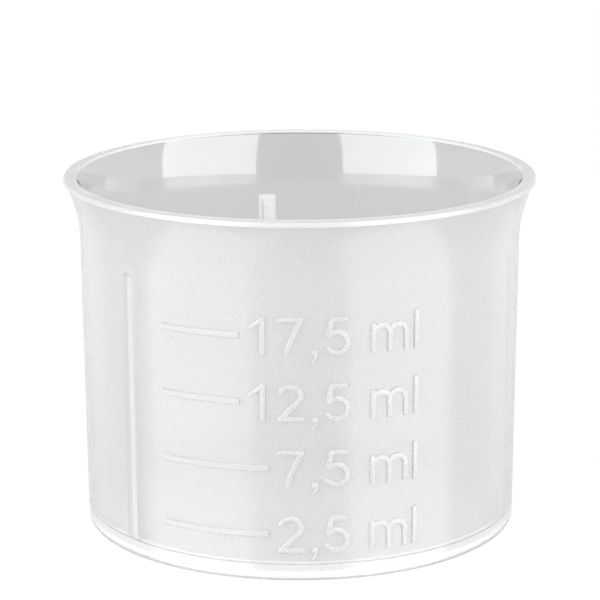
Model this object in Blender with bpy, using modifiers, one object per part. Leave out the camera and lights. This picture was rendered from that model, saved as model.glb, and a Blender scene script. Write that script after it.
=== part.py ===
"""A small graduated medicine cup, moulded in one piece, for Blender 4.5.

Lengths are in metres and +Z is up. The origin is the centre of the foot, on the surface that the
cup stands on. The graduated panel faces -Y, and angles are turned about +Z from there.
"""

import math

import bmesh
import bpy
from mathutils import Matrix, Vector

# Overall sizes
HEIGHT = 0.0295
RIM_RADIUS = 0.0196

# Body: a short cylinder with a little draft, outside radius at its foot and where the flare starts
FOOT_RADIUS = 0.01805
NECK_RADIUS = 0.0183
WALL = 0.0010

# Flare: the curved mouth, from the top of the straight wall to the top of the rim
FLARE_HEIGHT = 0.0055

# Rim: a thickened lip round the mouth
LIP_HEIGHT = 0.0005
LIP_STEP = 0.00015
LIP_OUTER_ROUND = 0.00025
LIP_INNER_ROUND = 0.0003
LIP_UNDER_ROUND = 0.0001

# Floor and foot: a plate above a shallow recess, which leaves a ring to stand on
FLOOR_PLATE = 0.0007
FLOOR_FILLET = 0.0004
FOOT_RECESS = 0.0005
FOOT_RING_WIDTH = 0.0014
FOOT_ROUND = 0.0004
RING_INNER_ROUND = 0.00015
RECESS_DRAFT = 0.0001
GATE_RADIUS = 0.0007
GATE_HEIGHT = 0.00015

# Ribs inside the wall, which keep nested cups from jamming
RIB_COUNT = 3
RIB_WIDTH = 0.0009
RIB_DEPTH = 0.00065
RIB_BELOW_FLARE = 0.0004
RIB_LEAD = 0.0003
RIB_ROUND = 0.00012

# Raised graduation bars on the panel that faces -Y, as volumes in cubic metres
VOLUMES = (2.5e-6, 7.5e-6, 12.5e-6, 17.5e-6)
TEN_MILLILITRES = 10e-6
BAR_HEIGHT = 0.0005
BAR_PROUD = 0.0002
BAR_EDGE = 0.00007
BAR_START = math.radians(-47.2)
BAR_END = math.radians(-17.7)
BAR_END_TWO_DIGITS = math.radians(-24.7)

# How far the ribs and bars run into the wall and floor that carry them
ROOT = 0.0003

TURN_STEPS = 96
FLARE_STEPS = 6
ROUND_STEPS = 3
SMALL_ROUND_STEPS = 2
RIB_ROUND_STEPS = 2
BAR_STEPS = 8
SHARP_ANGLE = math.radians(35)
MERGE_DISTANCE = 0.000001

FLOOR_TOP = FOOT_RECESS + FLOOR_PLATE
FLARE_START = HEIGHT - FLARE_HEIGHT
RIB_TOP = FLARE_START - RIB_BELOW_FLARE


def clear_scene():
    for obj in list(bpy.data.objects):
        bpy.data.objects.remove(obj, do_unlink=True)


def add_collection(name):
    collection = bpy.data.collections.new(name)
    bpy.context.scene.collection.children.link(collection)
    return collection


def wall_radius(height):
    """Outside radius of the straight wall at a height."""
    return FOOT_RADIUS + (NECK_RADIUS - FOOT_RADIUS) * height / FLARE_START


def bore_radius(height):
    """Inside radius of the straight wall at a height."""
    return wall_radius(height) - WALL


def fill_height(volume):
    """Height of a liquid's surface above the foot, from the floor, the tapered bore and the ribs."""
    ribs = RIB_COUNT * RIB_WIDTH * RIB_DEPTH
    depth = 0.0
    for _ in range(20):
        low = bore_radius(FLOOR_TOP)
        high = bore_radius(FLOOR_TOP + depth)
        area = math.pi * (low * low + low * high + high * high) / 3 - ribs
        depth = volume / area
    return FLOOR_TOP + depth


def outside_radius(height):
    """Outside radius at a height, on the straight wall or on the flare above it."""
    if height <= FLARE_START:
        return wall_radius(height)
    centre, radius, _, _ = flare()
    return centre[0] - math.copysign(math.sqrt(radius**2 - (height - FLARE_START) ** 2), radius)


def arc(centre, radius, start, end, steps):
    """Points of an arc in the (radius, height) plane, with both ends."""
    points = []
    for step in range(steps + 1):
        angle = start + (end - start) * step / steps
        points.append((centre[0] + radius * math.cos(angle), centre[1] + radius * math.sin(angle)))
    return points


def flare():
    """Centre, outer radius, and outer and inner end angles of the mouth's two concentric arcs."""
    rise = FLARE_HEIGHT - LIP_HEIGHT
    spread = RIM_RADIUS - LIP_STEP - NECK_RADIUS
    outer_angle = 2 * math.atan2(spread, rise)
    outer_radius = rise / math.sin(outer_angle)
    inner_reach = outer_radius + WALL - LIP_INNER_ROUND
    inner_angle = math.asin((FLARE_HEIGHT - LIP_INNER_ROUND) / inner_reach)
    return (NECK_RADIUS + outer_radius, FLARE_START), outer_radius, outer_angle, inner_angle


def inside_outline():
    """From the middle of the floor up to the top of the rim."""
    centre, outer_radius, _, inner_angle = flare()
    corner = (bore_radius(FLOOR_TOP) - FLOOR_FILLET, FLOOR_TOP + FLOOR_FILLET)
    radius = outer_radius + WALL
    points = [(0.0, FLOOR_TOP)]
    points += arc(corner, FLOOR_FILLET, -math.pi / 2, 0.0, ROUND_STEPS)
    points += arc(centre, radius, math.pi, math.pi - inner_angle, FLARE_STEPS)
    end = points[-1]
    edge = (
        end[0] + LIP_INNER_ROUND * math.cos(inner_angle),
        end[1] - LIP_INNER_ROUND * math.sin(inner_angle),
    )
    points += arc(edge, LIP_INNER_ROUND, math.pi - inner_angle, math.pi / 2, ROUND_STEPS)[1:]
    return points


def outside_outline():
    """From the top of the rim down to the ring that the cup stands on."""
    centre, outer_radius, outer_angle, _ = flare()
    edge = (RIM_RADIUS - LIP_OUTER_ROUND, HEIGHT - LIP_OUTER_ROUND)
    under = (RIM_RADIUS - LIP_UNDER_ROUND, HEIGHT - LIP_HEIGHT + LIP_UNDER_ROUND)
    foot = (wall_radius(FOOT_ROUND) - FOOT_ROUND, FOOT_ROUND)
    points = arc(edge, LIP_OUTER_ROUND, math.pi / 2, 0.0, ROUND_STEPS)
    points += arc(under, LIP_UNDER_ROUND, 0.0, -math.pi / 2, SMALL_ROUND_STEPS)
    points += arc(centre, outer_radius, math.pi - outer_angle, math.pi, FLARE_STEPS)
    points += arc(foot, FOOT_ROUND, 0.0, -math.pi / 2, ROUND_STEPS)
    return points


def underside_outline():
    """From the ring's inner edge up into the recess and in to the gate mark at its middle."""
    inner = FOOT_RADIUS - FOOT_RING_WIDTH
    edge = (inner + RING_INNER_ROUND, RING_INNER_ROUND)
    points = arc(edge, RING_INNER_ROUND, -math.pi / 2, -math.pi, SMALL_ROUND_STEPS)
    points.append((inner - RECESS_DRAFT, FOOT_RECESS))
    points.append((GATE_RADIUS, FOOT_RECESS))
    points.append((GATE_RADIUS - GATE_HEIGHT, FOOT_RECESS - GATE_HEIGHT))
    points.append((0.0, FOOT_RECESS - GATE_HEIGHT))
    return points


def link_mesh(name, bm, collection):
    mesh = bpy.data.meshes.new(name)
    bm.to_mesh(mesh)
    bm.free()
    obj = bpy.data.objects.new(name, mesh)
    collection.objects.link(obj)
    return obj


def turned_body(name, collection):
    """The cup without ribs and bars, turned about +Z from its outline."""
    bm = bmesh.new()
    outline = inside_outline() + outside_outline() + underside_outline()
    vertices = [bm.verts.new((radius, 0.0, height)) for radius, height in outline]
    for first, second in zip(vertices, vertices[1:]):
        bm.edges.new((first, second))
    body = link_mesh(name, bm, collection)
    turn = body.modifiers.new("Turn", "SCREW")
    turn.axis = "Z"
    turn.angle = math.tau
    turn.steps = TURN_STEPS
    turn.render_steps = TURN_STEPS
    turn.use_merge_vertices = True
    turn.merge_threshold = MERGE_DISTANCE
    return body


def add_rib(bm, angle):
    """One rib: a box whose back lies in the wall and whose top slopes down to the inner face."""
    turn = Matrix.Rotation(angle, 3, "Z")
    box = bmesh.ops.create_cube(bm, size=1.0)["verts"]
    faces = {face for vertex in box for face in vertex.link_faces}
    inner_face = max(faces, key=lambda face: face.calc_center_median().y)
    foot = min(inner_face.edges, key=lambda edge: sum(vertex.co.z for vertex in edge.verts))
    rounded = [edge for edge in inner_face.edges if edge is not foot]
    for vertex in box:
        reach = ROOT if vertex.co.y < 0 else -RIB_DEPTH
        top = RIB_TOP + RIB_LEAD * reach / RIB_DEPTH
        height = top if vertex.co.z > 0 else FLOOR_TOP - ROOT
        side = math.copysign(RIB_WIDTH / 2, vertex.co.x)
        vertex.co = turn @ Vector((side, -bore_radius(height) - reach, height))
    bm.normal_update()
    bmesh.ops.bevel(
        bm,
        geom=rounded,
        offset=RIB_ROUND,
        segments=RIB_ROUND_STEPS,
        profile=0.5,
        affect="EDGES",
    )


def ribs(name, collection):
    """The ribs stand evenly round the bore, with the panels between them."""
    bm = bmesh.new()
    for number in range(RIB_COUNT):
        add_rib(bm, math.tau * (number + 0.5) / RIB_COUNT)
    bmesh.ops.recalc_face_normals(bm, faces=bm.faces)
    return link_mesh(name, bm, collection)


def bar_section(height):
    """Corners of a bar's section, with the outer edges chamfered."""
    inner = outside_radius(height) - ROOT
    outer = outside_radius(height) + BAR_PROUD
    half = BAR_HEIGHT / 2
    return (
        (inner, -half),
        (outer - BAR_EDGE, -half),
        (outer, BAR_EDGE - half),
        (outer, half - BAR_EDGE),
        (outer - BAR_EDGE, half),
        (inner, half),
    )


def add_bar(bm, volume):
    """A raised bar whose middle is level with the liquid, swept round the wall."""
    height = fill_height(volume)
    end = BAR_END if volume < TEN_MILLILITRES else BAR_END_TWO_DIGITS
    start = Matrix.Rotation(BAR_START, 3, "Z")
    corners = [
        bm.verts.new(start @ Vector((0.0, -radius, height + rise)))
        for radius, rise in bar_section(height)
    ]
    section = bm.faces.new(corners)
    bmesh.ops.spin(
        bm,
        geom=[section, *section.edges, *section.verts],
        cent=(0.0, 0.0, 0.0),
        axis=(0.0, 0.0, 1.0),
        angle=end - BAR_START,
        steps=BAR_STEPS,
    )


def bars(name, collection):
    bm = bmesh.new()
    for volume in VOLUMES:
        add_bar(bm, volume)
    bmesh.ops.recalc_face_normals(bm, faces=bm.faces)
    return link_mesh(name, bm, collection)


def join(body, shape):
    """Adds a hidden helper shape to the body with a Boolean."""
    shape.hide_render = True
    shape.display_type = "WIRE"
    union = body.modifiers.new(shape.name, "BOOLEAN")
    union.operation = "UNION"
    union.solver = "EXACT"
    union.object = shape


def finish_mesh(body):
    """Makes the modifiers' result the object's own mesh, smooth apart from its sharp edges."""
    graph = bpy.context.evaluated_depsgraph_get()
    mesh = bpy.data.meshes.new_from_object(body.evaluated_get(graph))
    body.modifiers.clear()
    body.data = mesh
    mesh.name = body.name
    mesh.shade_smooth()
    mesh.set_sharp_from_angle(angle=SHARP_ANGLE)


def natural_plastic():
    """Uncoloured, milky and slightly see-through moulded plastic."""
    material = bpy.data.materials.new("natural_plastic")
    material.use_nodes = True
    shader = material.node_tree.nodes["Principled BSDF"]
    shader.inputs["Base Color"].default_value = (0.84, 0.85, 0.86, 1.0)
    shader.inputs["Roughness"].default_value = 0.25
    shader.inputs["Metallic"].default_value = 0.0
    shader.inputs["Transmission Weight"].default_value = 0.5
    shader.inputs["IOR"].default_value = 1.49
    return material


def build():
    clear_scene()
    parts = add_collection("medicine_cup")
    helpers = add_collection("joined_shapes")
    cup = turned_body("medicine_cup", parts)
    join(cup, ribs("ribs", helpers))
    join(cup, bars("graduation_bars", helpers))
    finish_mesh(cup)
    cup.data.materials.clear()
    cup.data.materials.append(natural_plastic())


build()
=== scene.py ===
"""A small moulded medicine cup with raised graduations, and the studio that shows it.

Lengths are in metres and +Z is up. The graduations face -Y, and angles are turned about +Z from there.
"""

import math

import bmesh
import bpy
from bpy.props import FloatProperty, FloatVectorProperty, IntProperty, PointerProperty
from mathutils import Matrix, Vector


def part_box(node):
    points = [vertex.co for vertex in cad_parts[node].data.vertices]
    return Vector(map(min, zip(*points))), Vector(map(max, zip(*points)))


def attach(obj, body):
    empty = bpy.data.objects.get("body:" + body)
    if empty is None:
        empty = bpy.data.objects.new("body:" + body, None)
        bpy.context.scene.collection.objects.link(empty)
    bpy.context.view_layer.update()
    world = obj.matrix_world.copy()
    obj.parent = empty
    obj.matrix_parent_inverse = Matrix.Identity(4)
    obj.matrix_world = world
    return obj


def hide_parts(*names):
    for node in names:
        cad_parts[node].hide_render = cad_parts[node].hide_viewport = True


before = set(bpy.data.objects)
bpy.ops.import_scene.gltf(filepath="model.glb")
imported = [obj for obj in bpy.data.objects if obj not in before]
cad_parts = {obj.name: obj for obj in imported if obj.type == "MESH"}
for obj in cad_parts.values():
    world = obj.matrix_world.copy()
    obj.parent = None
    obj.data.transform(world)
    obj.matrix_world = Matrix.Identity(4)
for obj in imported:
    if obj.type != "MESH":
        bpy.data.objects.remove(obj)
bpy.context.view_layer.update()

bl_info = {
    "name": "Medicine Cup",
    "version": (1, 0, 0),
    "blender": (4, 5, 0),
    "location": "View3D > Sidebar > Medicine Cup",
    "description": "Makes a moulded medicine cup with raised graduations, and its studio",
    "category": "Add Mesh",
}

NODE = "medicine_cup"
LOW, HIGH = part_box(NODE)

# How finely the round stretches are cut
TURN_STEPS = 288
FLARE_STEPS = 16
ROUND_STEPS = 6
SMALL_ROUND_STEPS = 3
BAR_STEPS = 24
BOWL_STEPS = 20
BOW_STEPS = 6
EDGE_STEPS = 2
SHARP_ANGLE = math.radians(30)
MERGE_DISTANCE = 1e-7

# How deep in the wall a face lies that belongs to its inside, as a share of the wall
INSIDE_DEPTH = 0.7

# How far the ribs, bars and numbers run into the wall that carries them
ROOT = 0.0003

# The order of the materials on the cup, after the satin one of its outside
INNER_FACES = 1
RAISED_FACES = 2
RIM_FACES = 3
RIB_FACES = 4
FLOOR_FACES = 5
BAR_FACES = 6
FOOT_FACES = 7
# Faces beside each rib, made milkier to paint a highlight along the rib
RIB_HIGHLIGHT_FACES = 8


def length(name, default, description):
    return FloatProperty(
        name=name, description=description, default=default, min=0.0, precision=5, unit="LENGTH"
    )


def turn(name, default, description):
    return FloatProperty(
        name=name, description=description, default=math.radians(default), unit="ROTATION"
    )


def share(name, default, description):
    return FloatProperty(name=name, description=description, default=default, min=0.0)


def colour(name, default, description):
    return FloatVectorProperty(
        name=name, description=description, default=default, size=3, min=0.0, max=1.0, subtype="COLOR"
    )


class CupSizes(bpy.types.PropertyGroup):
    """The turned section of the cup."""

    height: length("Height", HIGH.z - LOW.z, "From the table to the top of the rim")
    rim_radius: length("Rim radius", HIGH.x, "Outside radius of the rim")
    foot_radius: length("Foot radius", 0.01805, "Outside radius of the wall at the table")
    neck_radius: length("Neck radius", 0.0183, "Outside radius where the flare starts")
    wall: length("Wall", 0.0010, "Thickness of the wall")
    flare_height: length("Flare height", 0.0055, "Height of the curved mouth")
    lip_height: length("Lip height", 0.0005, "Height of the thickened edge")
    lip_step: length("Lip step", 0.00015, "How far the lip stands out from the flare")
    lip_outer_round: length("Lip outer round", 0.00025, "Radius of the lip's outer edge")
    lip_inner_round: length("Lip inner round", 0.0003, "Radius of the lip's inner edge")
    lip_under_round: length("Lip under round", 0.0001, "Radius of the lip's lower edge")
    floor_plate: length("Floor", 0.0007, "Thickness of the floor")
    floor_fillet: length("Floor fillet", 0.0004, "Radius between floor and wall")
    foot_recess: length("Foot recess", 0.0005, "Height of the recess under the floor")
    foot_ring_width: length("Foot ring width", 0.0014, "Width of the ring that the cup stands on")
    foot_round: length("Foot round", 0.0004, "Radius of the foot's outer edge")
    ring_inner_round: length("Ring inner round", 0.00015, "Radius of the ring's inner edge")
    recess_draft: length("Recess draft", 0.0001, "How far the recess narrows upwards")
    gate_radius: length("Gate radius", 0.0007, "Radius of the gate mark under the floor")
    gate_height: length("Gate height", 0.00015, "How far the gate mark stands down")


class RibSizes(bpy.types.PropertyGroup):
    """The slim ribs inside the wall."""

    count: IntProperty(name="Ribs", description="How many ribs there are", default=3, min=1)
    width: length("Rib width", 0.0009, "Width of a rib")
    depth: length("Rib depth", 0.00065, "How far a rib stands in from the wall")
    below_flare: length("Below flare", 0.0004, "From a rib's top up to the flare")
    lead: length("Lead", 0.0003, "How far a rib's top slopes down")
    edge_round: length("Rib round", 0.00012, "Radius of a rib's edges")
    # The milkier strip beside each rib is a painted highlight, standing in for the bright lines that the
    # rib's faces throw
    highlight_strip_width: length("Highlight strip width", 0.0003, "Width of the milkier strip beside a rib")


class GraduationSizes(bpy.types.PropertyGroup):
    """The raised bars and numbers."""

    bar_height: length("Bar height", 0.0005, "Height of a bar")
    bar_proud: length("Bar relief", 0.0002, "How far a bar stands out")
    bar_edge: length("Bar edge", 0.00007, "Width of the chamfer along a bar")
    bar_start: turn("Bar start", -46.2, "Where the bars start")
    bar_end: turn("Bar end", -17.7, "Where a bar beside one digit ends")
    bar_end_two_digits: turn("Bar end, two digits", -24.7, "Where a bar beside two digits ends")
    digit_height: length("Digit height", 0.00305, "Height of a digit")
    stroke: length("Stroke", 0.0004, "Width of a digit's lines")
    digit_proud: length("Digit relief", 0.00017, "How far a digit stands out")
    digit_edge: length("Digit edge", 0.00006, "Radius along a digit's edges")
    strip: length("Strip", 0.0003, "Width of the strips in which a digit bends round the wall")


class PlasticLook(bpy.types.PropertyGroup):
    """Uncoloured moulded plastic."""

    tint: colour("Tint", (0.97, 0.975, 0.98), "Colour that light takes on through the outside")
    # The bore tint is painted shade: it greys all light through the cup's inside faces, so that the inside
    # and what shows through it look dimmer
    bore_shade_tint: colour("Bore shade tint", (0.41, 0.42, 0.43), "Colour that light takes on through the inside")
    milk: colour("Milk", (0.93, 0.935, 0.94), "Colour of the plastic's milk")
    clouds: share("Clouds", 160.0, "Flow clouds in a metre")
    cloud: share("Cloud", 0.97, "How much darker the flow clouds are")
    outer_milk: share("Outer milk", 0.41, "Share of milk in the outside")
    inner_milk: share("Inner milk", 0.06, "Share of milk in the inside")
    raised_milk: share("Raised milk", 0.49, "Share of milk in the numbers")
    raised_speckle: share("Raised speckle", 0.7, "How strongly the numbers' specks show")
    bar_milk: share("Bar milk", 0.44, "Share of milk in the bars")
    rim_milk: share("Rim milk", 0.62, "Share of milk in the rim")
    foot_milk: share("Foot milk", 0.69, "Share of milk in the foot")
    speckles: share("Speckles", 7000.0, "Fine specks of milk in a metre")
    speckle: share("Speckle", 0.3, "How strongly the specks show")
    rib_milk: share("Rib milk", 0.75, "Share of milk in the ribs")
    # The milk beside the ribs, seen from outside and from within, paints a highlight along each rib
    highlight_strip_milk: share("Highlight strip milk", 0.4, "Share of milk beside the ribs")
    highlight_strip_within: share("Highlight strip within", 1.0, "Share of milk beside the ribs, seen through the wall")
    outer_glow: share("Outer glow", 0.12, "Share of milk in the outside, seen from within")
    bend: share("Refraction", 1.55, "Index of refraction")
    gloss: share("Gloss", 1.0, "Strength of the reflections")
    coat: share("Coat", 1.0, "How much the inside's polish adds to its reflections")
    satin: share("Satin", 0.22, "Roughness of the outside")
    thick_satin: share("Thick satin", 0.15, "Roughness of the rim and the foot")
    polish: share("Polish", 0.09, "Roughness of the inside")
    rib_satin: share("Rib satin", 0.03, "Roughness of the ribs")
    grain: share("Grain", 6000.0, "Grains of the outside in a metre")
    grain_height: length("Grain height", 0.000002, "How high those grains stand")
    raised_grain_height: length("Raised grain height", 0.000010, "How high they stand on the numbers")
    flow: share("Flow", 900.0, "Faint waves of the inside in a metre")
    flow_height: length("Flow height", 0.000001, "How high those waves stand")


class StudioLook(bpy.types.PropertyGroup):
    """Camera, lamps and table."""

    camera_distance: length("Camera distance", 0.2150, "From the cup's axis to the camera")
    camera_height: length("Camera height", 0.0726, "From the table up to the camera")
    camera_side: turn("Camera side", -9.7, "How far the camera stands to the side of the numbers")
    camera_pitch: turn("Camera pitch", 14.13, "How far the camera looks down")
    camera_roll: turn("Camera roll", -0.19, "How far the camera is tilted sideways")
    lens: FloatProperty(name="Lens", description="Focal length", default=158.0, unit="CAMERA")
    lamp_distance: length("Lamp distance", 0.6, "From the cup's axis to each soft lamp")
    lamp_side: turn("Lamp side", 54.5, "From the camera's direction to the middle of a soft lamp")
    lamp_width: length("Lamp width", 0.68, "Width of a soft lamp")
    lamp_height: length("Lamp height", 0.80, "Height of a soft lamp")
    lamp_brightness: share("Lamp brightness", 2.8, "Brightness of the side lamps, where white is 1")
    wall_top: turn("Wall top", 22, "How high the room's white wall reaches")
    wall_fade: turn("Wall fade", 6, "How softly the white wall ends")
    ceiling: share("Ceiling", 0.6, "Brightness of the room above the wall")
    camera_end: share("Camera end", 0.3, "How bright the room's side at the camera is")
    side_start: FloatProperty(
        name="Side start", description="Where the room starts to grow brighter, from -1 to 1", default=-0.85
    )
    side_end: FloatProperty(
        name="Side end", description="Where the room reaches its full brightness, from -1 to 1", default=0.1
    )
    table_reach: length("Table reach", 3.0, "From the cup's axis to the table's edge")
    table: colour("Table", (0.9, 0.9, 0.9), "Colour of the table")
    table_white: share("Table white", 1.04, "Brightness of the table where it is seen")
    table_glow: share("Table glow", 0.93, "Share of that brightness beside the lit colour")
    table_gloss: share("Table gloss", 0.75, "How strongly the cup's sheen shows lamps in the table")
    table_roughness: share("Table roughness", 0.15, "Roughness of the table's surface")


class MedicineCupSettings(bpy.types.PropertyGroup):
    """All sizes and looks of the cup and its studio."""

    cup: PointerProperty(type=CupSizes)
    ribs: PointerProperty(type=RibSizes)
    graduations: PointerProperty(type=GraduationSizes)
    plastic: PointerProperty(type=PlasticLook)
    studio: PointerProperty(type=StudioLook)


# The graduations in millilitres, and the first of them that has two digits before its comma
VOLUMES = (2.5, 7.5, 12.5, 17.5)
TWO_DIGITS = 10
MILLILITRES = 1e6
FILL_ROUNDS = 20

# Where each sign of a row starts, in degrees: two digits, comma, digit, and the unit's two letters
SIGN_STARTS = (-22.5, -15.4, -7.2, -3.9, 7.8, 19.5)


# The turned section


def flare_start(cup):
    return cup.height - cup.flare_height


def floor_top(cup):
    return cup.foot_recess + cup.floor_plate


def flare(cup):
    """Centre, outer radius, and outer and inner end angles of the mouth's two concentric arcs."""
    rise = cup.flare_height - cup.lip_height
    spread = cup.rim_radius - cup.lip_step - cup.neck_radius
    outer_angle = 2 * math.atan2(spread, rise)
    outer_radius = rise / math.sin(outer_angle)
    inner_reach = outer_radius + cup.wall - cup.lip_inner_round
    inner_angle = math.asin((cup.flare_height - cup.lip_inner_round) / inner_reach)
    return (cup.neck_radius + outer_radius, flare_start(cup)), outer_radius, outer_angle, inner_angle


def outside_radius(cup, height):
    """Outside radius at a height, on the straight wall or on the flare above it."""
    if height <= flare_start(cup):
        return cup.foot_radius + (cup.neck_radius - cup.foot_radius) * height / flare_start(cup)
    centre, radius, _, _ = flare(cup)
    across = math.sqrt(max(radius**2 - (height - flare_start(cup)) ** 2, 0.0))
    return centre[0] - math.copysign(across, radius)


def bore_radius(cup, height):
    """Inside radius of the straight wall at a height."""
    return cup.foot_radius + (cup.neck_radius - cup.foot_radius) * height / flare_start(cup) - cup.wall


def fill_height(cup, ribs, millilitres):
    """Height of a liquid's surface above the table, from the floor, the tapered bore and the ribs."""
    taken = ribs.count * ribs.width * ribs.depth
    depth = 0.0
    for _ in range(FILL_ROUNDS):
        low = bore_radius(cup, floor_top(cup))
        high = bore_radius(cup, floor_top(cup) + depth)
        area = math.pi * (low * low + low * high + high * high) / 3 - taken
        depth = millilitres / MILLILITRES / area
    return floor_top(cup) + depth


def arc(centre, radius, start, end, steps, stretch=1.0):
    """Points of an arc in a plane, with both ends. A stretch makes it part of an ellipse."""
    points = []
    for step in range(steps + 1):
        angle = start + (end - start) * step / steps
        points.append(
            (centre[0] + radius * math.cos(angle), centre[1] + stretch * radius * math.sin(angle))
        )
    return points


def inside_outline(cup):
    """From the middle of the floor up to the top of the rim."""
    centre, outer_radius, _, inner_angle = flare(cup)
    bottom = floor_top(cup)
    corner = (bore_radius(cup, bottom) - cup.floor_fillet, bottom + cup.floor_fillet)
    points = [(0.0, bottom)]
    points += arc(corner, cup.floor_fillet, -math.pi / 2, 0.0, ROUND_STEPS)
    points += arc(centre, outer_radius + cup.wall, math.pi, math.pi - inner_angle, FLARE_STEPS)
    edge = (
        points[-1][0] + cup.lip_inner_round * math.cos(inner_angle),
        points[-1][1] - cup.lip_inner_round * math.sin(inner_angle),
    )
    points += arc(edge, cup.lip_inner_round, math.pi - inner_angle, math.pi / 2, ROUND_STEPS)[1:]
    return points


def outside_outline(cup):
    """From the top of the rim down to the ring that the cup stands on."""
    centre, outer_radius, outer_angle, _ = flare(cup)
    edge = (cup.rim_radius - cup.lip_outer_round, cup.height - cup.lip_outer_round)
    under = (
        cup.rim_radius - cup.lip_under_round,
        cup.height - cup.lip_height + cup.lip_under_round,
    )
    foot = (outside_radius(cup, cup.foot_round) - cup.foot_round, cup.foot_round)
    points = arc(edge, cup.lip_outer_round, math.pi / 2, 0.0, ROUND_STEPS)
    points += arc(under, cup.lip_under_round, 0.0, -math.pi / 2, SMALL_ROUND_STEPS)
    points += arc(centre, outer_radius, math.pi - outer_angle, math.pi, FLARE_STEPS)
    for height in (floor_top(cup) + cup.floor_fillet / 2, cup.foot_recess):
        points.append((outside_radius(cup, height), height))
    points += arc(foot, cup.foot_round, 0.0, -math.pi / 2, ROUND_STEPS)
    return points


def underside_outline(cup):
    """From the ring's inner edge up into the recess and in to the gate mark at its middle."""
    inner = cup.foot_radius - cup.foot_ring_width
    edge = (inner + cup.ring_inner_round, cup.ring_inner_round)
    points = arc(edge, cup.ring_inner_round, -math.pi / 2, -math.pi, SMALL_ROUND_STEPS)
    points.append((inner - cup.recess_draft, cup.foot_recess))
    points.append((cup.gate_radius, cup.foot_recess))
    points.append((cup.gate_radius - cup.gate_height, cup.foot_recess - cup.gate_height))
    points.append((0.0, cup.foot_recess - cup.gate_height))
    return points


# Meshes


def link_mesh(name, bm):
    mesh = bpy.data.meshes.new(name)
    bm.to_mesh(mesh)
    bm.free()
    obj = bpy.data.objects.new(name, mesh)
    bpy.context.scene.collection.objects.link(obj)
    return obj


def unite(base, added, crossing=False):
    """Joins another object's solids to the base's and removes it. Crossing solids need a slower way."""
    union = base.modifiers.new("Union", "BOOLEAN")
    union.operation = "UNION"
    union.solver = "EXACT"
    union.use_self = crossing
    union.object = added
    graph = bpy.context.evaluated_depsgraph_get()
    mesh = bpy.data.meshes.new_from_object(base.evaluated_get(graph))
    base.modifiers.clear()
    base.data = mesh
    bpy.data.objects.remove(added, do_unlink=True)


def turned_body(cup, ribs):
    """The cup without ribs and graduations: its outline, spun about +Z, its faces sorted by skin."""
    bm = bmesh.new()
    outline = inside_outline(cup) + outside_outline(cup) + underside_outline(cup)
    vertices = [bm.verts.new((radius, 0.0, height)) for radius, height in outline]
    edges = [bm.edges.new(pair) for pair in zip(vertices, vertices[1:])]
    bmesh.ops.spin(
        bm,
        geom=vertices + edges,
        cent=(0.0, 0.0, 0.0),
        axis=(0.0, 0.0, 1.0),
        angle=math.tau,
        steps=TURN_STEPS,
        use_merge=True,
    )
    bmesh.ops.remove_doubles(bm, verts=bm.verts, dist=MERGE_DISTANCE)
    bmesh.ops.recalc_face_normals(bm, faces=bm.faces)
    for face in bm.faces:
        centre = face.calc_center_median()
        depth = outside_radius(cup, centre.z) - math.hypot(centre.x, centre.y)
        inside = depth > cup.wall * INSIDE_DEPTH and centre.z > floor_top(cup) + MERGE_DISTANCE
        rim = centre.z > cup.height - (cup.lip_inner_round if inside else cup.lip_height)
        foot = not inside and cup.foot_recess < centre.z < floor_top(cup) + cup.floor_fillet / 2
        if abs(centre.z - floor_top(cup)) < MERGE_DISTANCE:
            face.material_index = FLOOR_FACES
        elif rim:
            face.material_index = RIM_FACES
        elif foot:
            face.material_index = FOOT_FACES
        elif inside:
            # Inside faces beside a rib, below its top, get the milkier plastic that paints a highlight
            # along the rib
            pitch = math.tau / ribs.count
            aside = abs(math.atan2(centre.x, -centre.y) % pitch - pitch / 2)
            near = aside * math.hypot(centre.x, centre.y) < ribs.width / 2 + ribs.highlight_strip_width
            low = centre.z < flare_start(cup) - ribs.below_flare
            face.material_index = RIB_HIGHLIGHT_FACES if near and low else INNER_FACES
    return link_mesh(NODE, bm)


def add_rib(bm, cup, ribs, angle):
    """One rib: a box whose back lies in the wall and whose top slopes down to the inner face."""
    around = Matrix.Rotation(angle, 3, "Z")
    box = bmesh.ops.create_cube(bm, size=1.0)["verts"]
    faces = {face for vertex in box for face in vertex.link_faces}
    inner_face = max(faces, key=lambda face: face.calc_center_median().y)
    foot = min(inner_face.edges, key=lambda edge: sum(vertex.co.z for vertex in edge.verts))
    rounded = [edge for edge in inner_face.edges if edge is not foot]
    for vertex in box:
        reach = ROOT if vertex.co.y < 0 else -ribs.depth
        top = flare_start(cup) - ribs.below_flare + ribs.lead * reach / ribs.depth
        height = top if vertex.co.z > 0 else floor_top(cup) - ROOT
        side = math.copysign(ribs.width / 2, vertex.co.x)
        vertex.co = around @ Vector((side, -bore_radius(cup, height) - reach, height))
    bm.normal_update()
    bmesh.ops.bevel(
        bm,
        geom=rounded,
        offset=ribs.edge_round,
        segments=SMALL_ROUND_STEPS,
        profile=0.5,
        affect="EDGES",
        material=-1,
    )


def inner_ribs(cup, ribs):
    bm = bmesh.new()
    for number in range(ribs.count):
        add_rib(bm, cup, ribs, math.tau * (number + 0.5) / ribs.count)
    bmesh.ops.recalc_face_normals(bm, faces=bm.faces)
    for face in bm.faces:
        face.material_index = RIB_FACES
    return link_mesh("ribs", bm)


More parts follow.
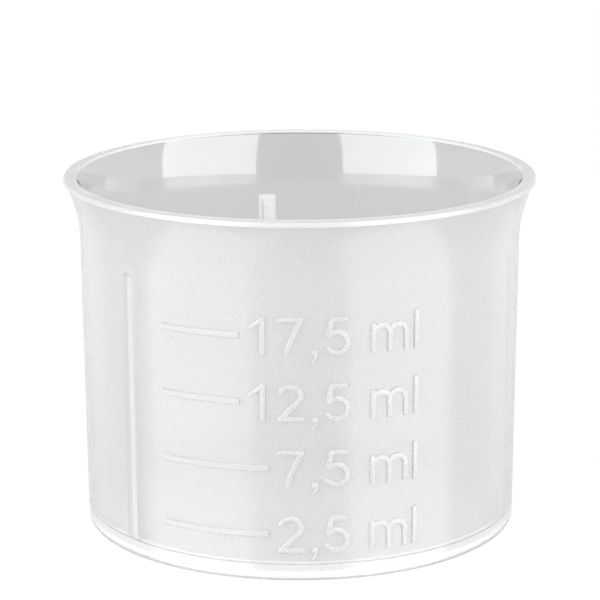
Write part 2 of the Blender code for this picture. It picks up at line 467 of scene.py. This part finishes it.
def add_bar(bm, cup, marks, height, end):
    """A raised bar swept round the wall, with its outer edges chamfered."""
    inner = outside_radius(cup, height) - ROOT
    outer = outside_radius(cup, height) + marks.bar_proud
    half = marks.bar_height / 2
    section = (
        (inner, -half),
        (outer - marks.bar_edge, -half),
        (outer, marks.bar_edge - half),
        (outer, half - marks.bar_edge),
        (outer - marks.bar_edge, half),
        (inner, half),
    )
    start = Matrix.Rotation(marks.bar_start, 3, "Z")
    corners = [bm.verts.new(start @ Vector((0.0, -radius, height + rise))) for radius, rise in section]
    face = bm.faces.new(corners)
    bmesh.ops.spin(
        bm,
        geom=[face, *face.edges, *face.verts],
        cent=(0.0, 0.0, 0.0),
        axis=(0.0, 0.0, 1.0),
        angle=end - marks.bar_start,
        steps=BAR_STEPS,
    )


def bars(cup, ribs, marks):
    bm = bmesh.new()
    for volume in VOLUMES:
        end = marks.bar_end if volume < TWO_DIGITS else marks.bar_end_two_digits
        add_bar(bm, cup, marks, fill_height(cup, ribs, volume), end)
    bmesh.ops.recalc_face_normals(bm, faces=bm.faces)
    for face in bm.faces:
        face.material_index = BAR_FACES
    return link_mesh("bars", bm)


# Numbers: the middle lines of each sign's strokes, where a digit is 1 high and starts at 0


def bow(start, end, sag):
    """A slightly bent line: its middle stands to the left of the straight one by the sag."""
    along = Vector(end) - Vector(start)
    side = Vector((-along.y, along.x)).normalized()
    shares = [step / BOW_STEPS for step in range(BOW_STEPS + 1)]
    return [tuple(Vector(start) + along * t + side * sag * 4 * t * (1 - t)) for t in shares]


def sign_one(line):
    stem = 0.43 - line / 2
    return [
        ([(stem, 0.0), (stem, 1.0)], line),
        (bow((0.01, 0.70), (stem, 0.96), -0.02), line * 0.9),
    ]


def sign_two(line):
    bowl = arc((0.335, 0.70), 0.275, math.radians(175), math.radians(-40), BOWL_STEPS, 0.85)
    base = line / 2
    return [
        (bowl + [(0.085, base + 0.01)], line),
        ([(0.0, base), (0.68, base)], line),
    ]


def sign_five(line):
    top = 1 - line / 2
    low = 0.335 - line / 2
    bowl = arc((0.325, 0.335), 0.283, math.radians(140), math.radians(-160), BOWL_STEPS, low / 0.283)
    return [
        ([(0.62, top), (0.195, top), (0.085, 0.47)], line),
        (bowl, line),
    ]


def sign_seven(line):
    top = 1 - line / 2
    return [
        ([(0.0, top), (0.675, top)], line),
        (bow((0.615, top), (0.225, 0.0), -0.03), line),
    ]


def sign_comma(line):
    return [
        ([(0.105, 0.0), (0.105, 0.14)], 0.15),
        (bow((0.15, 0.02), (0.03, -0.19), 0.02), 0.06),
    ]


def sign_m(line):
    tall = 0.764
    pitch = (1.05 - line) / 2
    rise = 0.2
    strokes = [([(line / 2, 0.0), (line / 2, tall)], line)]
    for number in range(2):
        middle = line / 2 + pitch * (number + 0.5)
        arch = arc(
            (middle, tall - line / 2 - rise),
            pitch / 2,
            math.radians(165),
            0.0,
            BOWL_STEPS,
            rise / (pitch / 2),
        )
        strokes.append((arch + [(middle + pitch / 2, 0.0)], line))
    return strokes


def sign_l(line):
    return [([(line / 2, 0.0), (line / 2, 1.026)], line)]


SIGNS = {
    "1": sign_one,
    "2": sign_two,
    "5": sign_five,
    "7": sign_seven,
    ",": sign_comma,
    "m": sign_m,
    "l": sign_l,
}


def add_stroke(bm, points, width, thickness):
    """A flat bar along a line of points, mitred where it turns, extruded upwards."""
    path = [Vector(point) for point in points]
    left = []
    right = []
    for number, point in enumerate(path):
        before = (point - path[number - 1]).normalized() if number else None
        after = (path[number + 1] - point).normalized() if number + 1 < len(path) else None
        before = before or after
        after = after or before
        along = (before + after).normalized()
        side = Vector((-along.y, along.x)) * (width / 2 / along.dot(before))
        left.append(point + side)
        right.append(point - side)
    outline = right + left[::-1]
    face = bm.faces.new([bm.verts.new((point.x, point.y, 0.0)) for point in outline])
    raised = bmesh.ops.extrude_face_region(bm, geom=[face])["geom"]
    corners = [item for item in raised if isinstance(item, bmesh.types.BMVert)]
    bmesh.ops.translate(bm, vec=(0.0, 0.0, thickness), verts=corners)


def sign_mesh(sign, marks):
    """A sign as one flat solid with rounded upper edges, its back at zero."""
    size = marks.digit_height
    thickness = ROOT + marks.digit_proud
    strokes = [
        ([(x * size, y * size) for x, y in points], width * size)
        for points, width in SIGNS[sign](marks.stroke / size)
    ]
    pieces = []
    for group in (strokes[:1], strokes[1:]):
        bm = bmesh.new()
        for points, width in group:
            add_stroke(bm, points, width, thickness)
        bmesh.ops.recalc_face_normals(bm, faces=bm.faces)
        pieces.append(link_mesh("sign", bm))
    if strokes[1:]:
        unite(pieces[0], pieces[1], crossing=True)
    else:
        bpy.data.objects.remove(pieces[1], do_unlink=True)
    bm = bmesh.new()
    bm.from_mesh(pieces[0].data)
    bpy.data.objects.remove(pieces[0], do_unlink=True)
    bmesh.ops.remove_doubles(bm, verts=bm.verts, dist=MERGE_DISTANCE)
    bmesh.ops.dissolve_limit(bm, angle_limit=math.radians(1), verts=bm.verts, edges=bm.edges)
    upper = [
        edge
        for edge in bm.edges
        if min(vertex.co.z for vertex in edge.verts) > thickness - MERGE_DISTANCE
        and edge.calc_face_angle(0.0) > SHARP_ANGLE
    ]
    bmesh.ops.bevel(
        bm,
        geom=upper,
        offset=marks.digit_edge,
        segments=EDGE_STEPS,
        profile=0.5,
        affect="EDGES",
        material=-1,
    )
    widest = max(vertex.co.x for vertex in bm.verts)
    for number in range(1, math.ceil(widest / marks.strip)):
        bmesh.ops.bisect_plane(
            bm,
            geom=[*bm.verts, *bm.edges, *bm.faces],
            dist=MERGE_DISTANCE,
            plane_co=(number * marks.strip, 0.0, 0.0),
            plane_no=(1.0, 0.0, 0.0),
        )
    for face in bm.faces:
        face.material_index = RAISED_FACES
    mesh = bpy.data.meshes.new("sign")
    bm.to_mesh(mesh)
    bm.free()
    return mesh


def numbers(cup, ribs, marks):
    """Every row's number and unit, bent round the wall beside its bar."""
    meshes = {sign: sign_mesh(sign, marks) for sign in SIGNS}
    bm = bmesh.new()
    for volume in VOLUMES:
        base = fill_height(cup, ribs, volume) - marks.digit_height / 2
        row = f"{volume:4.1f}".replace(".", ",") + "ml"
        radius = outside_radius(cup, base)
        for sign, start in zip(row, SIGN_STARTS):
            if sign == " ":
                continue
            known = len(bm.verts)
            bm.from_mesh(meshes[sign])
            bm.verts.ensure_lookup_table()
            for vertex in bm.verts[known:]:
                along, up, depth = vertex.co
                angle = math.radians(start) + along / radius
                reach = outside_radius(cup, base + up) - ROOT + depth
                vertex.co = (reach * math.sin(angle), -reach * math.cos(angle), base + up)
    bmesh.ops.recalc_face_normals(bm, faces=bm.faces)
    return link_mesh("numbers", bm)


# Materials

# The numbers of a Mix Shader's and a colour Mix node's sockets, whose names repeat
FACTOR = 0
FIRST = 1
SECOND = 2
FIRST_COLOUR = 6
SECOND_COLOUR = 7
MIXED_COLOUR = 2

# How finely each pattern is broken up
CLOUD_DETAIL = 3.0
GRAIN_DETAIL = 2.0
SPECKLE_DETAIL = 1.0

# Share of a skin's roughness in its smoothest clouds, and how much the clouds add
SMOOTHEST = 0.9
ROUGHER = 0.2


class Value:
    """A socket that takes part in Python sums, which add Math nodes to its material."""

    def __init__(self, nodes, socket):
        self.nodes = nodes
        self.socket = socket

    def maths(self, operation, first, second):
        return self.nodes.add("ShaderNodeMath", {"operation": operation}, {0: first, 1: second})

    def __add__(self, other):
        return self.maths("ADD", self, other)

    def __mul__(self, other):
        return self.maths("MULTIPLY", self, other)

    def __rmul__(self, other):
        return self.maths("MULTIPLY", other, self)

    def __radd__(self, other):
        return self.maths("ADD", other, self)

    def __rsub__(self, other):
        return self.maths("SUBTRACT", other, self)


class Nodes:
    """The node tree of a material or of the world."""

    def __init__(self, tree):
        self.tree = tree
        tree.nodes.clear()

    def add(self, kind, settings=None, inputs=None, output=0):
        """Adds a node, sets it, then fills its sockets with values or links. Gives one output."""
        node = self.tree.nodes.new(kind)
        for name, value in (settings or {}).items():
            setattr(node, name, value)
        for name, value in (inputs or {}).items():
            if isinstance(value, Value):
                self.tree.links.new(value.socket, node.inputs[name])
            else:
                node.inputs[name].default_value = value
        return Value(self, node.outputs[output]) if node.outputs else None


def opaque(rgb):
    return (*rgb, 1.0)


WHITE = opaque((1.0, 1.0, 1.0))


def noise(nodes, place, scale, detail):
    return nodes.add("ShaderNodeTexNoise", inputs={"Vector": place, "Scale": scale, "Detail": detail})


def plastic(name, look, tint, milk, coat, within, speckle, roughness, grain, grain_height):
    """See-through plastic with a share of milk in its skin, faint clouds and the mould's fine grain.

    The share of milk is another one where the skin is seen from within, and there it only lets light
    through, so that what lies behind it stays in sight.
    """
    material = bpy.data.materials.new(name)
    material.use_nodes = True
    nodes = Nodes(material.node_tree)
    place = nodes.add("ShaderNodeTexCoord", output="Object")
    clouds = noise(nodes, place, look.clouds, CLOUD_DETAIL)
    grains = noise(nodes, place, grain, GRAIN_DETAIL)
    speckles = noise(nodes, place, look.speckles, SPECKLE_DETAIL)
    darker_milk = [channel * look.cloud for channel in look.milk]
    cloudy = nodes.add(
        "ShaderNodeMix",
        {"data_type": "RGBA"},
        {"Factor": clouds, FIRST_COLOUR: opaque(look.milk), SECOND_COLOUR: opaque(darker_milk)},
        output=MIXED_COLOUR,
    )
    bump = nodes.add(
        "ShaderNodeBump", inputs={"Height": grains, "Strength": 1.0, "Distance": grain_height}
    )
    skin = {
        "Roughness": roughness * SMOOTHEST + roughness * ROUGHER * clouds,
        "IOR": look.bend,
        "Specular IOR Level": look.gloss,
        "Coat Weight": coat,
        "Normal": bump,
    }
    clear = nodes.add(
        "ShaderNodeBsdfPrincipled",
        inputs={"Base Color": opaque(tint), "Transmission Weight": 1.0, **skin},
    )
    milky = nodes.add("ShaderNodeBsdfPrincipled", inputs={"Base Color": cloudy, **skin})
    glowing = nodes.add("ShaderNodeBsdfTranslucent", inputs={"Color": cloudy})
    inside = nodes.add("ShaderNodeNewGeometry", output="Backfacing")
    speckled = 1.0 - speckle / 2 + speckle * speckles
    milks = milk + (within - milk) * inside
    scattered = nodes.add(
        "ShaderNodeMixShader", inputs={FACTOR: inside, FIRST: milky, SECOND: glowing}
    )
    surface = nodes.add(
        "ShaderNodeMixShader", inputs={FACTOR: speckled * milks, FIRST: clear, SECOND: scattered}
    )
    nodes.add("ShaderNodeOutputMaterial", inputs={"Surface": surface})
    return material


def finish_cup(cup, look):
    """Gives the cup its plastics, in the order that its faces name."""
    satin = (look.satin, look.grain, look.grain_height)
    raised = (look.satin, look.grain, look.raised_grain_height)
    thick = (look.thick_satin, look.flow, look.flow_height)
    polish = (look.polish, look.flow, look.flow_height)
    rib = (look.rib_satin, look.flow, look.flow_height)
    # Name, tint, milk, coat, milk seen from within, strength of the specks, and skin
    for name, tint, milk, coat, within, speckle, skin in (
        ("satin_plastic", look.tint, look.outer_milk, 0.0, look.outer_glow, look.speckle, satin),
        # The inside's grey tint is painted shade, which dims the inside and what is seen through it
        ("polished_plastic", look.bore_shade_tint, look.inner_milk, look.coat, 0.0, look.speckle, polish),
        ("raised_plastic", look.tint, look.raised_milk, 0.0, look.outer_glow, look.raised_speckle, raised),
        ("rim_plastic", look.tint, look.rim_milk, 0.0, 0.0, look.speckle, thick),
        ("rib_plastic", look.tint, look.rib_milk, 0.0, 0.0, look.speckle, rib),
        ("floor_plastic", look.tint, look.inner_milk, look.coat, 0.0, look.speckle, polish),
        ("bar_plastic", look.tint, look.bar_milk, 0.0, look.outer_glow, look.speckle, raised),
        ("foot_plastic", look.tint, look.foot_milk, 0.0, 0.0, look.speckle, thick),
        # The plastic beside the ribs is milkier, to paint a highlight along each rib
        ("rib_highlight_plastic", look.tint, look.highlight_strip_milk, 0.0, look.highlight_strip_within, look.speckle, rib),
    ):
        cup.data.materials.append(plastic(name, look, tint, milk, coat, within, speckle, *skin))


def white_table(look):
    """White table that the camera sees as white, with a soft shadow, and that mirrors the lamps.

    Its mirror shows in the cup's sheen alone, not where it is seen through the plastic.
    """
    material = bpy.data.materials.new("white_table")
    material.use_nodes = True
    nodes = Nodes(material.node_tree)
    camera, glossy, through = (
        nodes.add("ShaderNodeLightPath", output=name)
        for name in ("Is Camera Ray", "Is Glossy Ray", "Is Transmission Ray")
    )
    painted = nodes.add("ShaderNodeBsdfDiffuse", inputs={"Color": opaque(look.table)})
    bright = nodes.add("ShaderNodeEmission", inputs={"Strength": look.table_white})
    seen = look.table_glow * (camera + glossy + through)
    white = nodes.add("ShaderNodeMixShader", inputs={FACTOR: seen, FIRST: painted, SECOND: bright})
    mirror = nodes.add(
        "ShaderNodeBsdfAnisotropic",
        inputs={"Color": WHITE, "Roughness": look.table_roughness},
    )
    mirrored = look.table_gloss * glossy * (1 - through)
    surface = nodes.add("ShaderNodeMixShader", inputs={FACTOR: mirrored, FIRST: white, SECOND: mirror})
    nodes.add("ShaderNodeOutputMaterial", inputs={"Surface": surface})
    return material


def smooth_step(nodes, value, start, end, first, last):
    """Goes softly from the first value to the last while the given one goes from start to end."""
    return nodes.add(
        "ShaderNodeMapRange",
        {"interpolation_type": "SMOOTHSTEP"},
        {"Value": value, "From Min": start, "From Max": end, "To Min": first, "To Max": last},
    )


def white_room(look):
    """A white wall round the table, with a dimmer ceiling above it and a dim side at the camera."""
    world = bpy.data.worlds.new("white_room")
    world.use_nodes = True
    nodes = Nodes(world.node_tree)
    direction = nodes.add("ShaderNodeTexCoord", output="Generated")
    up = nodes.add("ShaderNodeSeparateXYZ", inputs={0: direction}, output="Z")
    back = nodes.add("ShaderNodeSeparateXYZ", inputs={0: direction}, output="Y")
    fade_start = math.sin(look.wall_top - look.wall_fade)
    fade_end = math.sin(look.wall_top + look.wall_fade)
    wall = smooth_step(nodes, up, fade_start, fade_end, 1.0, look.ceiling)
    depth = smooth_step(nodes, back, look.side_start, look.side_end, look.camera_end, 1.0)
    sky = nodes.add("ShaderNodeBackground", inputs={"Strength": wall * depth})
    nodes.add("ShaderNodeOutputWorld", inputs={"Surface": sky})
    bpy.context.scene.world = world


def add_camera(look):
    data = bpy.data.cameras.new("camera")
    data.lens = look.lens
    camera = bpy.data.objects.new("camera", data)
    bpy.context.scene.collection.objects.link(camera)
    side = Matrix.Rotation(look.camera_side, 4, "Z")
    place = Matrix.Translation((0.0, -look.camera_distance, look.camera_height))
    pitch = Matrix.Rotation(math.pi / 2 - look.camera_pitch, 4, "X")
    roll = Matrix.Rotation(look.camera_roll, 4, "Z")
    camera.matrix_world = side @ place @ pitch @ roll
    bpy.context.scene.camera = camera


def add_soft_lamp(look, place):
    """A rectangular lamp that shines along its own -Z, as bright as its brightness says."""
    data = bpy.data.lights.new("side_lamp", "AREA")
    data.shape = "RECTANGLE"
    data.size = look.lamp_width
    data.size_y = look.lamp_height
    data.energy = look.lamp_brightness * math.pi * look.lamp_width * look.lamp_height
    lamp = bpy.data.objects.new("side_lamp", data)
    bpy.context.scene.collection.objects.link(lamp)
    lamp.matrix_world = place


def add_lamps(look):
    """A tall soft lamp to each side of the camera, down to the table."""
    upright = Matrix.Rotation(math.pi / 2, 4, "X")
    for side in (-1, 1):
        around = Matrix.Rotation(look.camera_side + side * look.lamp_side, 4, "Z")
        place = Matrix.Translation((0.0, -look.lamp_distance, look.lamp_height / 2))
        add_soft_lamp(look, around @ place @ upright)


# Operators

# How many surfaces a ray of light may pass through, and how many it may meet in all
THROUGH_BOUNCES = 24
ALL_BOUNCES = 32


def settings():
    return bpy.context.scene.medicine_cup


class MEDICINE_CUP_OT_cup(bpy.types.Operator):
    """Moulds the cup: the turned body with its ribs, bars and numbers, as one solid"""

    bl_idname = "medicine_cup.make_cup"
    bl_label = "Make the cup"

    def execute(self, context):
        sizes = settings()
        cup = turned_body(sizes.cup, sizes.ribs)
        unite(cup, inner_ribs(sizes.cup, sizes.ribs))
        unite(cup, bars(sizes.cup, sizes.ribs, sizes.graduations))
        unite(cup, numbers(sizes.cup, sizes.ribs, sizes.graduations))
        cup.name = "medicine_cup_body"
        cup.data.name = cup.name
        cup.data.shade_smooth()
        cup.data.set_sharp_from_angle(angle=SHARP_ANGLE)
        finish_cup(cup, sizes.plastic)
        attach(cup, "root")
        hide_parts(NODE)
        return {"FINISHED"}


class MEDICINE_CUP_OT_stage(bpy.types.Operator):
    """Sets the camera, the soft lamps, the white table and the white room"""

    bl_idname = "medicine_cup.set_stage"
    bl_label = "Set the stage"

    def execute(self, context):
        look = settings().studio
        bm = bmesh.new()
        bmesh.ops.create_grid(bm, x_segments=1, y_segments=1, size=look.table_reach)
        table = link_mesh("table", bm)
        table.data.materials.append(white_table(look))
        white_room(look)
        add_camera(look)
        add_lamps(look)
        context.scene.view_settings.view_transform = "Standard"
        context.scene.cycles.transmission_bounces = THROUGH_BOUNCES
        context.scene.cycles.max_bounces = ALL_BOUNCES
        return {"FINISHED"}


class MEDICINE_CUP_PT_panel(bpy.types.Panel):
    """Lists the cup's operators and sizes"""

    bl_idname = "MEDICINE_CUP_PT_panel"
    bl_label = "Medicine Cup"
    bl_space_type = "VIEW_3D"
    bl_region_type = "UI"
    bl_category = "Medicine Cup"

    def draw(self, context):
        layout = self.layout
        for operator in OPERATORS:
            layout.operator(operator.bl_idname)
        for name in MedicineCupSettings.__annotations__:
            group = getattr(context.scene.medicine_cup, name)
            box = layout.box()
            box.label(text=name.capitalize())
            for prop in group.__annotations__:
                box.prop(group, prop)


OPERATORS = (MEDICINE_CUP_OT_cup, MEDICINE_CUP_OT_stage)
CLASSES = (
    CupSizes,
    RibSizes,
    GraduationSizes,
    PlasticLook,
    StudioLook,
    MedicineCupSettings,
    *OPERATORS,
    MEDICINE_CUP_PT_panel,
)


def register():
    for item in CLASSES:
        bpy.utils.register_class(item)
    bpy.types.Scene.medicine_cup = PointerProperty(type=MedicineCupSettings)


def unregister():
    del bpy.types.Scene.medicine_cup
    for item in reversed(CLASSES):
        bpy.utils.unregister_class(item)


def main():
    register()
    bpy.ops.medicine_cup.make_cup()
    bpy.ops.medicine_cup.set_stage()


if __name__ == "__main__":
    main()
